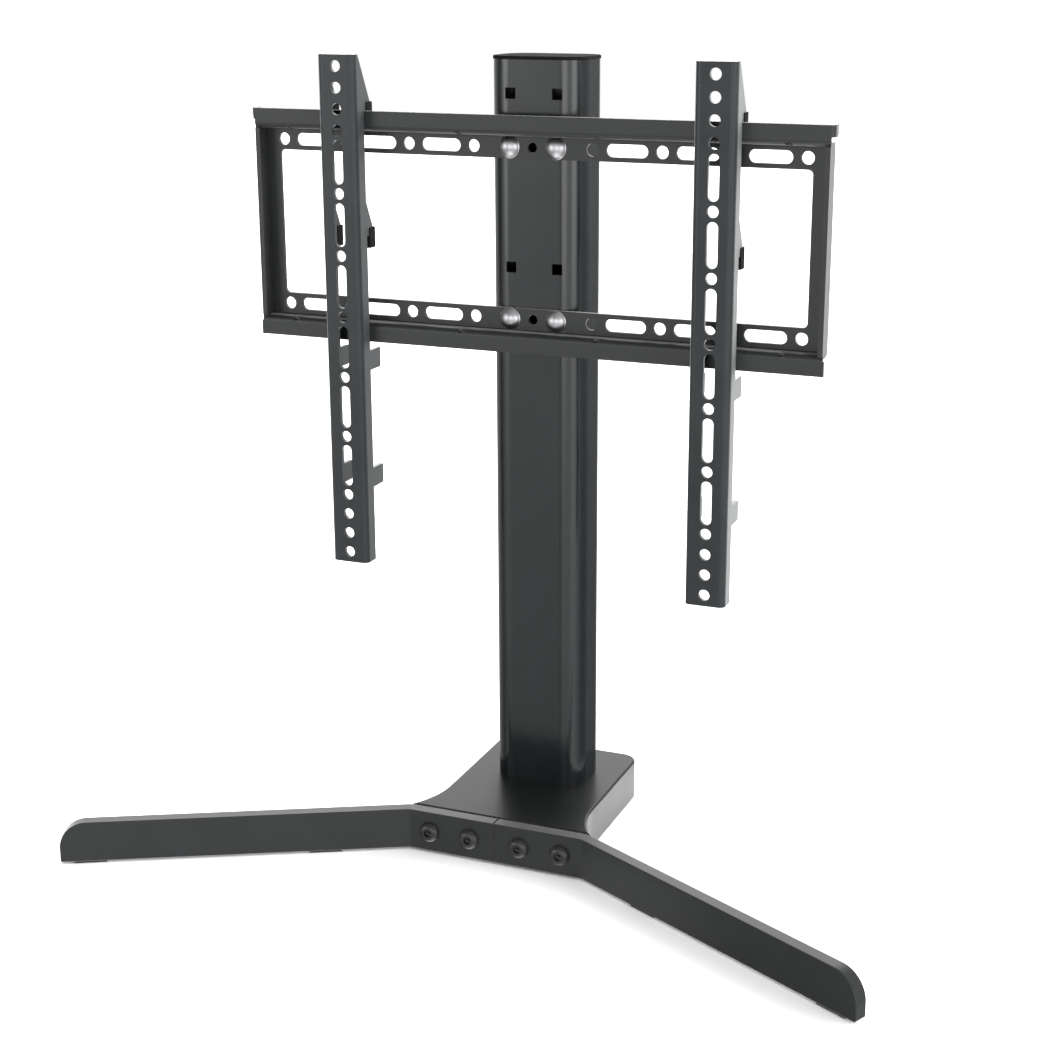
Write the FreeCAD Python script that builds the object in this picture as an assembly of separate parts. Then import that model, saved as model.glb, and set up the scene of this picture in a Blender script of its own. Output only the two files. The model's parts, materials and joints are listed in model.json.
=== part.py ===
import FreeCAD, Part
import math
import os

# Tabletop television stand. Millimetres, +Z up, the front faces -Y.
# Sizes are laid out about the column's axis, then the whole stand is moved so that
# its origin is the bottom centre of its bounding box.

# Clearances, and how far a cutter runs past the face that it opens
overrun = 1.0
running_gap = 0.3
screw_clearance = 0.3
thread_clearance = 0.05

# Floor pads
pad_height = 2.0
base_pad_diameter = 18.0
base_pad_inset = 20.0
leg_pad_width = 8.0
leg_pad_length = 26.0
leg_pad_from_tip = 24.0
leg_pad_from_bend = 70.0

# Base block
base_height = 34.0
base_half_width = 65.0
base_front_half_width = 81.0
base_front = -108.7
base_back = 55.4
flare_start = -62.0
base_corner_radius = 14.0
base_wall = 4.0
base_top = 4.5
base_edge_radius = 2.0
base_groove_depth = 2.0
base_groove_height = 5.0
bottom_plate_thickness = 3.0
bottom_plate_gap = 0.4
boss_diameter = 11.0
boss_inset = 11.0
plate_screw_diameter = 3.2
plate_screw_head = 8.0
plate_screw_head_height = 2.2
plate_screw_length = 12.0
plate_screw_socket = 2.5

# Legs
leg_height = 34.4
leg_thickness = 11.0
leg_bend_offset = 76.0
leg_bend_radius = 7.0
leg_reach = 286.0
leg_splay = 27.2
leg_tip_radius = 22.0
leg_tip_bottom_radius = 2.0
leg_edge_radius = 0.8
leg_seam = 0.8

# Leg bolts and the nut bars behind the base's front wall
leg_bolt_diameter = 10.0
leg_bolt_head = 17.5
leg_bolt_head_height = 5.0
leg_bolt_socket = 6.0
leg_bolt_inner = 22.0
leg_bolt_outer = 57.8
nut_bar_thickness = 8.0
nut_bar_height = 20.0
nut_bar_overhang = 10.0
bolt_end = 2.0

# Column
column_width = 79.0
column_depth = 57.0
column_corner = 18.0
column_wall = 2.5
column_length = 603.9
cap_thickness = 2.6
cap_overhang = 0.6
cap_edge_radius = 0.8
cap_plug_depth = 14.0
cap_plug_wall = 2.0
square_step = 41.0
foot_thickness = 12.0
foot_gap = 0.2
column_bolt_diameter = 8.0
column_bolt_offset_x = 17.0
column_bolt_offset_y = 12.0
column_bolt_head = 13.0
column_bolt_head_height = 5.5

# Television plate
plate_width = 479.0
plate_height = 186.4
plate_depth = 15.5
plate_sheet = 3.0
plate_bend_radius = 1.5
plate_centre = 505.3
lip_height = 16.0
top_lip_overhang = 3.0
bottom_lip_overhang = 1.0
lip_tab_height = 9.0
lip_tab_depth = 10.0
rim_width = 4.0
rail_height = 18.0
rail_row_drop = 9.3
stile_width = 15.5
window_corner = 4.0
rail_hole = 10.0
rail_slot = 34.0
rail_first_hole = 50.0
rail_hole_step = 28.3
rail_hole_margin = 12.0
plate_centre_hole = 8.0
dimple_inner = 58.0
dimple_from_end = 31.5
dimple_width = 6.0
dimple_depth = 2.2
dimple_tip = 0.7

# Carriage bolts through plate and column
carriage_offset = 19.6
carriage_diameter = 8.0
carriage_head = 17.8
carriage_head_height = 5.2
square_hole = 8.6
clamp_bar_length = 62.0
clamp_bar_height = 22.0
clamp_bar_thickness = 3.0
nut_across_flats = 13.0
nut_height = 6.5
nut_flange = 17.5
nut_flange_height = 1.5

# Arms
arm_length = 418.0
arm_width = 33.0
arm_depth = 15.5
arm_sheet = 3.5
arm_bend_radius = 1.5
arm_offset = 156.0
arm_hole = 9.0
arm_slot = 35.0
hole_grid = 50.0
end_holes = 3
arm_hole_margin = 8.0
arm_top_depth = 7.0
hook_drop = 44.0
hook_spacing = 100.0
hook_reach = 12.8
hook_rise = 4.0
hook_slope = 24.0
finger_length = 10.0
finger_depth = 7.4
tab_drop = 194.0
tab_height = 16.5
tab_reach = 18.0
tab_corner = 1.5
sleeve_wall = 0.9
sleeve_height = 16.5

# Places that follow from the sizes above
base_bottom = pad_height
base_top_height = base_bottom + base_height
column_front = -column_depth / 2
column_top = base_top_height + column_length
plate_back = column_front
plate_front = plate_back - plate_depth
web_front = plate_back - plate_sheet
plate_bottom_z = plate_centre - plate_height / 2
plate_top_z = plate_centre + plate_height / 2
top_shelf_z = plate_top_z - lip_height
bottom_shelf_z = plate_bottom_z + lip_height
window_top = top_shelf_z - rail_height
window_bottom = bottom_shelf_z + rail_height
upper_row = top_shelf_z - rail_row_drop
lower_row = bottom_shelf_z + rail_row_drop
arm_back = plate_front - running_gap
arm_front = arm_back - arm_depth
notch_top = plate_top_z + running_gap
arm_top = notch_top + hook_drop
arm_bottom = arm_top - arm_length
arm_centre = arm_top - arm_length / 2
hook_back = arm_back + hook_reach
leg_back = base_front
leg_front = leg_back - leg_thickness
leg_centre_z = base_bottom + leg_height / 2
window_width = plate_width - 2 * stile_width
rail_reach = plate_width / 2 - rim_width - rail_hole_margin - rail_first_hole
rail_holes_each_side = int(rail_reach / rail_hole_step) + 1
arm_rows = int((arm_length / 2 - arm_hole_margin) / hole_grid)
leg_tip_x = leg_bend_offset + leg_reach * math.cos(math.radians(leg_splay))
leg_tip_y = leg_front - leg_reach * math.sin(math.radians(leg_splay))
tip_rounding = math.sin(math.radians(leg_splay)) + math.cos(math.radians(leg_splay)) - 1
leg_foremost = leg_tip_y + leg_edge_radius * tip_rounding
origin_y = (leg_foremost + base_back) / 2


def vector(x, y, z=0.0):
    return FreeCAD.Vector(x, y, z)


def box(x, y, z):
    """Box from three (low, high) pairs."""
    size = (x[1] - x[0], y[1] - y[0], z[1] - z[0])
    return Part.makeBox(*size, vector(x[0], y[0], z[0]))


def rod(radius, start, end):
    """Cylinder from one point to another."""
    along = end - start
    return Part.makeCylinder(radius, along.Length, start, along)


def ring_of_points(points):
    """Face bounded by straight lines through the points."""
    return Part.Face(Part.makePolygon(points + points[:1]))


def joined(pieces):
    """One clean solid from pieces that overlap or touch."""
    return pieces[0].multiFuse(pieces[1:]).removeSplitter().Solids[0]


def together(pieces):
    """Group of separate solids that share one node."""
    return Part.makeCompound(pieces)


def mirrored(shape):
    """The same piece on the other side of the X = 0 plane."""
    return shape.mirror(vector(0, 0, 0), vector(1, 0, 0))


def turned_to(shape, direction, place):
    """Piece built along +Z, turned to a direction and moved to its place."""
    copy = shape.copy()
    copy.Placement = FreeCAD.Placement(place, FreeCAD.Rotation(vector(0, 0, 1), direction))
    return copy


def edges_where(shape, test):
    """Edges whose two end points both pass the test."""
    return [edge for edge in shape.Edges if all(test(vertex.Point) for vertex in edge.Vertexes)]


def near(value, target):
    return abs(value - target) < 0.01


def sheet_side(path, corners, offset):
    """Lines and arcs that run beside a bent path, offset to its left."""
    middle_radius, marks = corners
    edges = []
    here = path[0] + left_of(path[1] - path[0]) * offset
    for index, (start, end, centre, side) in enumerate(marks):
        before = left_of(path[index + 1] - path[index])
        after = left_of(path[index + 2] - path[index + 1])
        first = start + before * offset
        last = end + after * offset
        bulge = (first + last) * 0.5 - centre
        middle = centre + bulge.normalize() * (middle_radius - side * offset)
        edges.append(Part.LineSegment(here, first))
        edges.append(Part.Arc(first, middle, last))
        here = last
    finish = path[-1] + left_of(path[-1] - path[-2]) * offset
    edges.append(Part.LineSegment(here, finish))
    return edges


def left_of(direction):
    """Unit vector to the left of a direction in the XY plane."""
    return vector(-direction.y, direction.x).normalize()


def bent_sheet(path, thickness, inner_radius):
    """Face in the XY plane: a sheet bent along a path that is its middle line."""
    middle_radius = inner_radius + thickness / 2
    marks = []
    for before, corner, after in zip(path, path[1:], path[2:]):
        coming = (corner - before).normalize()
        going = (after - corner).normalize()
        side = 1 if coming.cross(going).z > 0 else -1
        reach = middle_radius * math.tan(coming.getAngle(going) / 2)
        start = corner - coming * reach
        end = corner + going * reach
        marks.append((start, end, start + left_of(coming) * (side * middle_radius), side))
    corners = (middle_radius, marks)
    left = sheet_side(path, corners, thickness / 2)
    right = sheet_side(path, corners, -thickness / 2)
    ends = [
        Part.LineSegment(left[0].StartPoint, right[0].StartPoint),
        Part.LineSegment(left[-1].EndPoint, right[-1].EndPoint),
    ]
    curves = left + right + ends
    wire = Part.Wire(Part.__sortEdges__([curve.toShape() for curve in curves]))
    return Part.Face(wire)


def side_face(face):
    """Turn a face drawn in XY so that its X runs along Y and its Y runs along Z."""
    turned = face.copy()
    turned.Placement = FreeCAD.Placement(
        vector(0, 0, 0), FreeCAD.Rotation(vector(0, 1, 0), vector(0, 0, 1), vector(1, 0, 0), "XYZ")
    )
    return turned


def rounded_rectangle(width, depth, radius):
    """Face in the XY plane centred on the origin."""
    block = Part.makeBox(width, depth, 1, vector(-width / 2, -depth / 2, -1))
    upright = [edge for edge in block.Edges if near(edge.Length, 1) and edge.Vertexes[0].Z != edge.Vertexes[1].Z]
    block = block.makeFillet(radius, upright)
    return next(face for face in block.Faces if near(face.CenterOfMass.z, 0))


def slot_cutter(length, width, depth):
    """Slot along Z that cuts along Y, centred on the origin."""
    half = length / 2 - width / 2
    ends = [rod(width / 2, vector(0, -depth, z), vector(0, depth, z)) for z in (-half, half)]
    middle = box((-width / 2, width / 2), (-depth, depth), (-half, half))
    return joined([middle] + ends)


def dome(radius, height):
    """Cap of a sphere that stands on the XY plane."""
    sphere_radius = (radius * radius + height * height) / (2 * height)
    sphere = Part.makeSphere(sphere_radius, vector(0, 0, height - sphere_radius))
    return sphere.common(Part.makeCylinder(radius, height, vector(0, 0, 0)))


def hexagon_prism(across_flats, height, start=0.0):
    """Hexagonal bar along Z."""
    radius = across_flats / math.sqrt(3)
    turns = [math.radians(60 * index) for index in range(6)]
    points = [vector(radius * math.cos(turn), radius * math.sin(turn), start) for turn in turns]
    return ring_of_points(points).extrude(vector(0, 0, height))


def button_bolt(diameter, head, head_height, socket, length):
    """Domed head above the XY plane with a hexagon socket, shank below it."""
    cap = dome(head / 2, head_height)
    socket_depth = head_height * 0.6
    cap = cap.cut(hexagon_prism(socket, head_height, head_height - socket_depth))
    shank = rod(diameter / 2, vector(0, 0, -length), vector(0, 0, 0))
    return joined([cap, shank])


def cap_bolt(diameter, head, head_height, length):
    """Cylinder head above the XY plane with a hexagon socket, shank below it."""
    cap = rod(head / 2, vector(0, 0, 0), vector(0, 0, head_height))
    cap = cap.cut(hexagon_prism(diameter * 0.75, head_height, head_height * 0.4))
    shank = rod(diameter / 2, vector(0, 0, -length), vector(0, 0, 0))
    return joined([cap, shank])


# Base block

def base_outline(inset):
    """Plan of the base at an inset from its outer face."""
    side = base_half_width
    front = base_front_half_width
    rise = flare_start - base_front
    spread = front - side
    flare_radius = (spread * spread + rise * rise) / (2 * spread)
    lean = math.asin(rise / flare_radius) / 2
    corner = base_corner_radius
    diagonal = corner * (1 - math.sqrt(0.5))
    edges = [Part.LineSegment(vector(-front, base_front), vector(front, base_front))]
    for sign in (1, -1):
        flare_middle = vector(
            sign * (side + flare_radius * (1 - math.cos(lean))), flare_start - flare_radius * math.sin(lean)
        )
        edges.append(Part.Arc(vector(sign * front, base_front), flare_middle, vector(sign * side, flare_start)))
        edges.append(
            Part.LineSegment(vector(sign * side, flare_start), vector(sign * side, base_back - corner))
        )
        corner_middle = vector(sign * (side - diagonal), base_back - diagonal)
        corner_end = vector(sign * (side - corner), base_back)
        edges.append(Part.Arc(vector(sign * side, base_back - corner), corner_middle, corner_end))
    edges.append(Part.LineSegment(vector(-side + corner, base_back), vector(side - corner, base_back)))
    wire = Part.Wire(Part.__sortEdges__([edge.toShape() for edge in edges]))
    face = Part.Face(wire)
    if inset:
        face = face.makeOffset2D(-inset)
    return face


def base_prism(inset, low, high):
    """Upright block on the base's plan."""
    face = base_outline(inset)
    face.translate(vector(0, 0, low))
    return face.extrude(vector(0, 0, high - low))


def boss_places():
    """Where the bottom plate's screws sit, inside the corners and the sides."""
    x = base_half_width - boss_inset
    front = base_front + base_wall + nut_bar_thickness + boss_inset
    back = base_back - boss_inset
    middle = (front + back) / 2
    return [vector(sign * x, y) for y in (front, middle, back) for sign in (-1, 1)]


def column_bolt_places():
    """Bolt pattern that holds the column's foot."""
    return [
        vector(x, y)
        for x in (-column_bolt_offset_x, column_bolt_offset_x)
        for y in (-column_bolt_offset_y, column_bolt_offset_y)
    ]


def leg_bolt_places():
    """Sideways places of one leg's bolts."""
    return (leg_bolt_inner, leg_bolt_outer)


def base_cover():
    """Hollow block, open below, with screw bosses under its top and a groove behind the legs."""
    outer = base_prism(0, base_bottom, base_top_height)
    side = base_front_half_width + overrun
    depth = (base_front - overrun, base_front + base_groove_depth)
    height = (base_top_height - base_groove_height, base_top_height + overrun)
    outer = outer.cut(box((-side, side), depth, height))
    rim = edges_where(outer, lambda point: near(point.z, base_top_height))
    outer = outer.makeFillet(base_edge_radius, rim)
    hollow = base_prism(base_wall, base_bottom, base_top_height - base_top)
    shell = outer.cut(hollow)
    boss_bottom = base_bottom + bottom_plate_thickness
    roof = base_top_height - base_top / 2
    bosses = []
    for place in boss_places():
        bosses.append(rod(boss_diameter / 2, place + vector(0, 0, boss_bottom), place + vector(0, 0, roof)))
    shell = joined([shell] + bosses)
    cutters = []
    for place in boss_places():
        mouth = place + vector(0, 0, boss_bottom)
        thread = rod(plate_screw_diameter / 2, mouth, mouth + vector(0, 0, plate_screw_length))
        cutters.append(thread)
    for place in column_bolt_places():
        radius = column_bolt_diameter / 2 + screw_clearance
        cutters.append(rod(radius, place, place + vector(0, 0, base_top_height)))
    for offset in leg_bolt_places():
        for sign in (-1, 1):
            start = vector(sign * offset, base_front - overrun, leg_centre_z)
            end = vector(sign * offset, base_front + base_wall, leg_centre_z)
            cutters.append(rod(leg_bolt_diameter / 2 + screw_clearance, start, end))
    return shell.cut(cutters).Solids[0]


def base_bottom_plate():
    """Flat plate that closes the base, set inside its walls."""
    plate = base_prism(base_wall + bottom_plate_gap, base_bottom, base_bottom + bottom_plate_thickness)
    cutters = []
    for place in boss_places():
        cutters.append(plate_screw(screw_clearance).translated(place + vector(0, 0, base_bottom)))
    return plate.cut(cutters).Solids[0]


def plate_screw(clearance):
    """Countersunk screw, head down on the XY plane, or its hole with a clearance."""
    shank_radius = plate_screw_diameter / 2 + clearance
    head = Part.makeCone(plate_screw_head / 2 + clearance, shank_radius, plate_screw_head_height)
    shank = rod(shank_radius, vector(0, 0, 0), vector(0, 0, plate_screw_length))
    return joined([head, shank])


def base_plate_screws():
    """Screws that hold the bottom plate to the bosses."""
    screw = plate_screw(0).cut(hexagon_prism(plate_screw_socket, plate_screw_head_height * 0.7))
    screws = [screw.translated(place + vector(0, 0, base_bottom)) for place in boss_places()]
    return together(screws)


def base_pads():
    """Round pads under the base's corners."""
    x = base_half_width - base_pad_inset
    ys = (base_front + base_pad_inset, base_back - base_pad_inset)
    pads = []
    for y in ys:
        for sign in (-1, 1):
            pads.append(rod(base_pad_diameter / 2, vector(sign * x, y, 0), vector(sign * x, y, pad_height)))
    return together(pads)


# Legs

def leg_direction():
    """Direction in which the right leg leaves the base."""
    angle = math.radians(leg_splay)
    return vector(math.cos(angle), -math.sin(angle))


def right_leg():
    """Flat bar bent once, with a big round at the top of its tip."""
    middle_y = leg_front + leg_thickness / 2
    half = leg_thickness / 2
    bend_shift = half * math.tan(math.radians(leg_splay / 2))
    bend = vector(leg_bend_offset + bend_shift, middle_y)
    sideways = left_of(leg_direction())
    tip = vector(leg_tip_x, leg_tip_y) + sideways * half
    path = [vector(leg_seam / 2, middle_y), bend, tip]
    face = bent_sheet(path, leg_thickness, leg_bend_radius)
    face.translate(vector(0, 0, base_bottom))
    bar = face.extrude(vector(0, 0, leg_height))
    top = base_bottom + leg_height
    reach = leg_direction()
    tip_distance = tip.dot(reach)

    def at_tip(point):
        return near(point.dot(reach), tip_distance)

    upper = edges_where(bar, lambda point: at_tip(point) and near(point.z, top))
    bar = bar.makeFillet(leg_tip_radius, upper)
    lower = edges_where(bar, lambda point: at_tip(point) and near(point.z, base_bottom))
    bar = bar.makeFillet(leg_tip_bottom_radius, lower)
    long_edges = edges_where(bar, lambda point: near(point.z, top))
    bar = bar.makeFillet(leg_edge_radius, long_edges)
    holes = []
    for offset in leg_bolt_places():
        start = vector(offset, leg_front - overrun, leg_centre_z)
        end = vector(offset, leg_back + overrun, leg_centre_z)
        holes.append(rod(leg_bolt_diameter / 2 + screw_clearance, start, end))
    return bar.cut(holes).Solids[0]


def right_leg_bolts():
    """Button head bolts that hold the leg to the base."""
    length = leg_thickness + base_wall + nut_bar_thickness + bolt_end
    bolt = button_bolt(leg_bolt_diameter, leg_bolt_head, leg_bolt_head_height, leg_bolt_socket, length)
    bolts = []
    for offset in leg_bolt_places():
        bolts.append(turned_to(bolt, vector(0, -1, 0), vector(offset, leg_front, leg_centre_z)))
    return together(bolts)


def right_nut_bar():
    """Threaded bar behind the base's front wall."""
    inner = leg_bolt_inner - nut_bar_overhang
    outer = leg_bolt_outer + nut_bar_overhang
    front = base_front + base_wall
    half = nut_bar_height / 2
    bar = box((inner, outer), (front, front + nut_bar_thickness), (leg_centre_z - half, leg_centre_z + half))
    holes = []
    for offset in leg_bolt_places():
        start = vector(offset, front, leg_centre_z)
        end = vector(offset, front + nut_bar_thickness, leg_centre_z)
        holes.append(rod(leg_bolt_diameter / 2 + thread_clearance, start, end))
    return bar.cut(holes)


def right_leg_pads():
    """Two strips of rubber under the leg."""
    reach = leg_direction()
    sideways = left_of(reach)
    tip = vector(leg_tip_x, leg_tip_y) + sideways * (leg_thickness / 2)
    pads = []
    for distance in (leg_pad_from_tip, leg_reach - leg_pad_from_bend):
        centre = tip - reach * distance
        along = reach * (leg_pad_length / 2)
        across = sideways * (leg_pad_width / 2)
        corners = [centre + along + across, centre - along + across, centre - along - across]
        corners.append(centre + along - across)
        pads.append(ring_of_points(corners).extrude(vector(0, 0, pad_height)))
    return together(pads)


# Column

def column_section(inset):
    """Plan of the column at an inset from its outer face."""
    return rounded_rectangle(column_width - 2 * inset, column_depth - 2 * inset, column_corner - inset)


def column_block(inset, low, high):
    """Upright block on the column's plan."""
    face = column_section(inset)
    face.translate(vector(0, 0, low))
    return face.extrude(vector(0, 0, high - low))


def bolt_rows():
    """Heights of the two rows that hold the plate."""
    return (upper_row, lower_row)


def column_tube():
    """Tube with square holes in front, round holes behind and a spare row above each in use."""
    tube = column_block(0, base_top_height, column_top)
    tube = tube.cut(column_block(column_wall, base_top_height, column_top))
    half = square_hole / 2
    cutters = []
    for row in bolt_rows():
        for z in (row, row + square_step):
            for x in (-carriage_offset, carriage_offset):
                across = (x - half, x + half)
                through = (column_front - overrun, column_front + column_depth / 4)
                cutters.append(box(across, through, (z - half, z + half)))
                radius = carriage_diameter / 2 + screw_clearance
                cutters.append(rod(radius, vector(x, 0, z), vector(x, column_depth, z)))
        start = vector(0, column_front - overrun, row)
        end = vector(0, column_front + column_depth / 4, row)
        cutters.append(rod(plate_centre_hole / 2, start, end))
    return tube.cut(cutters).Solids[0]


def column_cap():
    """Thin cap a little wider than the column, with a hollow plug inside it."""
    lid = column_block(-cap_overhang, column_top, column_top + cap_thickness)
    rim = edges_where(lid, lambda point: near(point.z, column_top + cap_thickness))
    lid = lid.makeFillet(cap_edge_radius, rim)
    outer = column_wall + foot_gap
    plug = column_block(outer, column_top - cap_plug_depth, column_top)
    plug = plug.cut(column_block(outer + cap_plug_wall, column_top - cap_plug_depth, column_top))
    return joined([lid, plug])


def column_foot():
    """Threaded block welded inside the column's lower end."""
    block = column_block(column_wall + foot_gap, base_top_height, base_top_height + foot_thickness)
    holes = []
    for place in column_bolt_places():
        start = place + vector(0, 0, base_top_height)
        end = place + vector(0, 0, base_top_height + foot_thickness)
        holes.append(rod(column_bolt_diameter / 2 + thread_clearance, start, end))
    return block.cut(holes)


def column_bolts():
    """Bolts that come up through the base into the column's foot."""
    length = base_top + foot_thickness - bolt_end
    bolt = cap_bolt(column_bolt_diameter, column_bolt_head, column_bolt_head_height, length)
    seat = vector(0, 0, base_top_height - base_top)
    return together([turned_to(bolt, vector(0, 0, -1), place + seat) for place in column_bolt_places()])


# Television plate

def plate_section():
    """Section through lip, shelf, web, shelf and lip, in the plane of Y and Z."""
    half = plate_sheet / 2
    lip_y = plate_front + half
    web_y = plate_back - half
    top_shelf = top_shelf_z + half
    bottom_shelf = bottom_shelf_z - half
    path = [
        vector(lip_y, plate_bottom_z),
        vector(lip_y, bottom_shelf),
        vector(web_y, bottom_shelf),
        vector(web_y, top_shelf),
        vector(lip_y, top_shelf),
        vector(lip_y, plate_top_z),
    ]
    return side_face(bent_sheet(path, plate_sheet, plate_bend_radius))


def lip_overhangs():
    """The ends of the lips that stand out past the shelves, the upper ones bent back as tabs."""
    bend = plate_bend_radius + plate_sheet
    flat_end = plate_width / 2
    pieces = []
    half = plate_sheet / 2
    tab_x = flat_end + top_lip_overhang - half
    lip_y = plate_front + half
    tab_end = vector(tab_x, plate_front + lip_tab_depth)
    path = [vector(flat_end - top_lip_overhang, lip_y), vector(tab_x, lip_y), tab_end]
    tab = bent_sheet(path, plate_sheet, plate_bend_radius / 2)
    tab.translate(vector(0, 0, plate_top_z - lip_tab_height))
    pieces.append(tab.extrude(vector(0, 0, lip_tab_height)))
    low = (flat_end, flat_end + bottom_lip_overhang)
    thick = (plate_front, plate_front + plate_sheet)
    pieces.append(box(low, thick, (plate_bottom_z, bottom_shelf_z - bend)))
    return pieces + [mirrored(piece) for piece in pieces]


def rail_cutters():
    """Round holes and slots of one rail, by turns, from the column outwards."""
    cutters = []
    depth = plate_sheet * 2
    slot = slot_cutter(rail_slot, rail_hole, depth)
    slot.rotate(vector(0, 0, 0), vector(0, 1, 0), 90)
    for index in range(rail_holes_each_side):
        x = rail_first_hole + index * rail_hole_step
        for sign in (-1, 1):
            place = vector(sign * x, web_front, 0)
            if index % 2:
                cutters.append(slot.translated(place))
            else:
                cutters.append(rod(rail_hole / 2, place - vector(0, depth, 0), place + vector(0, depth, 0)))
    return cutters


def dimple(extra):
    """Cone that points into the bend of the upper lip, from its outer side."""
    corner = vector(0, plate_front, top_shelf_z)
    inward = vector(0, 1, 1).normalize()
    bend = plate_bend_radius + plate_sheet
    skin = bend * (math.sqrt(2) - 1)
    slope = (dimple_width / 2 - dimple_tip) / dimple_depth
    mouth = dimple_width / 2 + slope * skin + extra
    tip = dimple_tip + extra / 2
    cone = Part.makeCone(mouth, tip, skin + dimple_depth + extra, corner, inward)
    cone.rotate(corner, inward, 20)
    return cone


def dimple_bump():
    """Inner skin of a dimple, kept to the inside of the bend."""
    cone = dimple(plate_sheet)
    inner = plate_sheet * 0.75
    y = plate_front + inner
    z = top_shelf_z + inner
    return cone.common(box((-plate_depth, plate_depth), (y, y + plate_depth), (z, z + plate_depth)))


def dimple_places():
    """Sideways places of the dimples, near the column and near the ends."""
    return [sign * x for x in (dimple_inner, plate_width / 2 - dimple_from_end) for sign in (-1, 1)]


def at_both_lips(shape):
    """The same shape at the upper lip and, turned over, at the lower lip."""
    lower = shape.mirror(vector(0, 0, plate_centre), vector(0, 0, 1))
    return [shape, lower]


def television_plate():
    """Pressed window frame: web with two rails, shelves, lips, side rims and stiffening dimples."""
    half_width = plate_width / 2
    sheet = plate_section().extrude(vector(plate_width, 0, 0)).translated(vector(-half_width, 0, 0))
    pieces = [sheet] + lip_overhangs()
    rim_z = (bottom_shelf_z - plate_sheet, top_shelf_z + plate_sheet)
    for sign in (-1, 1):
        sides = sorted((sign * half_width, sign * (half_width - rim_width)))
        rim = box(sides, (plate_front, plate_back), rim_z)
        outer = plate_bend_radius + plate_sheet
        across = [edge for edge in rim.Edges if near(edge.Length, rim_width)]
        pieces.append(rim.makeFillet(outer, across))
    inner_skin = []
    for x in dimple_places():
        inner_skin += [bump.translated(vector(x, 0, 0)) for bump in at_both_lips(dimple_bump())]
    shell = joined(pieces + inner_skin)
    cutters = []
    for x in dimple_places():
        cutters += [cone.translated(vector(x, 0, 0)) for cone in at_both_lips(dimple(0))]
    through = (web_front - overrun, plate_back + overrun)
    for row in bolt_rows():
        cutters += [cutter.translated(vector(0, 0, row)) for cutter in rail_cutters()]
        half = square_hole / 2
        for x in (-carriage_offset, carriage_offset):
            cutters.append(box((x - half, x + half), through, (row - half, row + half)))
        start = vector(0, through[0], row)
        cutters.append(rod(plate_centre_hole / 2, start, vector(0, through[1], row)))
    window = rounded_rectangle(window_width, window_top - window_bottom, window_corner)
    window.rotate(vector(0, 0, 0), vector(1, 0, 0), 90)
    window.translate(vector(0, through[1], (window_top + window_bottom) / 2))
    cutters.append(window.extrude(vector(0, through[0] - through[1], 0)))
    return shell.cut(cutters).Solids[0]


# Carriage bolts

def carriage_bolt():
    """Domed head above the XY plane, square neck and shank below it."""
    half = square_hole / 2 - screw_clearance / 2
    neck_length = plate_sheet + column_wall
    neck = box((-half, half), (-half, half), (-neck_length, 0))
    length = plate_sheet + column_depth + clamp_bar_thickness + nut_height + bolt_end
    shank = rod(carriage_diameter / 2, vector(0, 0, -length), vector(0, 0, 0))
    return joined([dome(carriage_head / 2, carriage_head_height), neck, shank])


def carriage_bolts(row):
    """Two bolts of one row."""
    bolt = carriage_bolt()
    places = [vector(x, web_front, row) for x in (-carriage_offset, carriage_offset)]
    return together([turned_to(bolt, vector(0, -1, 0), place) for place in places])


def clamp_bar(row):
    """Flat bar on the back of the column that spreads the nuts' load."""
    half = clamp_bar_length / 2
    back = column_depth / 2
    high = clamp_bar_height / 2
    bar = box((-half, half), (back, back + clamp_bar_thickness), (row - high, row + high))
    upright = [edge for edge in bar.Edges if near(edge.Length, clamp_bar_thickness)]
    bar = bar.makeFillet(high / 3, upright)
    radius = carriage_diameter / 2 + screw_clearance
    holes = []
    for x in (-carriage_offset, carriage_offset):
        holes.append(rod(radius, vector(x, back, row), vector(x, back + clamp_bar_thickness, row)))
    return bar.cut(holes)


def flange_nuts(row):
    """Two nuts of one row, with flanges against the clamp bar."""
    flange = rod(nut_flange / 2, vector(0, 0, 0), vector(0, 0, nut_flange_height))
    nut = joined([flange, hexagon_prism(nut_across_flats, nut_height)])
    bore = carriage_diameter / 2 + thread_clearance
    nut = nut.cut(rod(bore, vector(0, 0, 0), vector(0, 0, nut_height)))
    y = column_depth / 2 + clamp_bar_thickness
    places = [vector(x, y, row) for x in (-carriage_offset, carriage_offset)]
    return together([turned_to(nut, vector(0, 1, 0), place) for place in places])


# Arms

def flange_plate(points, side):
    """Flat plate in the plane of one of the arm's flanges; side is -1 or 1."""
    outer = arm_width / 2
    start = outer - arm_sheet if side > 0 else -outer
    face = ring_of_points([vector(start, y, z) for y, z in points])
    return face.extrude(vector(arm_sheet, 0, 0))


def hook_outline(ceiling, root_y, top_y, top_z):
    """Hook that hangs on a lip: notch ceiling, finger behind the lip, slope up to the flange."""
    finger_back = hook_back - sleeve_wall
    finger_front = finger_back - finger_depth
    finger_bottom = ceiling - finger_length + sleeve_wall
    return [
        (root_y, ceiling),
        (finger_front, ceiling),
        (finger_front, finger_bottom),
        (finger_back, finger_bottom),
        (finger_back, ceiling + hook_rise),
        (top_y, top_z),
    ]


def hook_ceilings():
    """Heights of the two notches of an arm."""
    return (notch_top, notch_top - hook_spacing)


def hook_plates(side):
    """Upper hook up to the arm's top and middle hook with its short slope."""
    upper, middle = hook_ceilings()
    corner_y = arm_front + arm_top_depth
    slope_z = middle + hook_rise + hook_slope
    outlines = [
        hook_outline(upper, corner_y, corner_y, arm_top),
        hook_outline(middle, arm_back - arm_sheet, arm_back, slope_z),
    ]
    return [flange_plate(outline, side) for outline in outlines]


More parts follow.
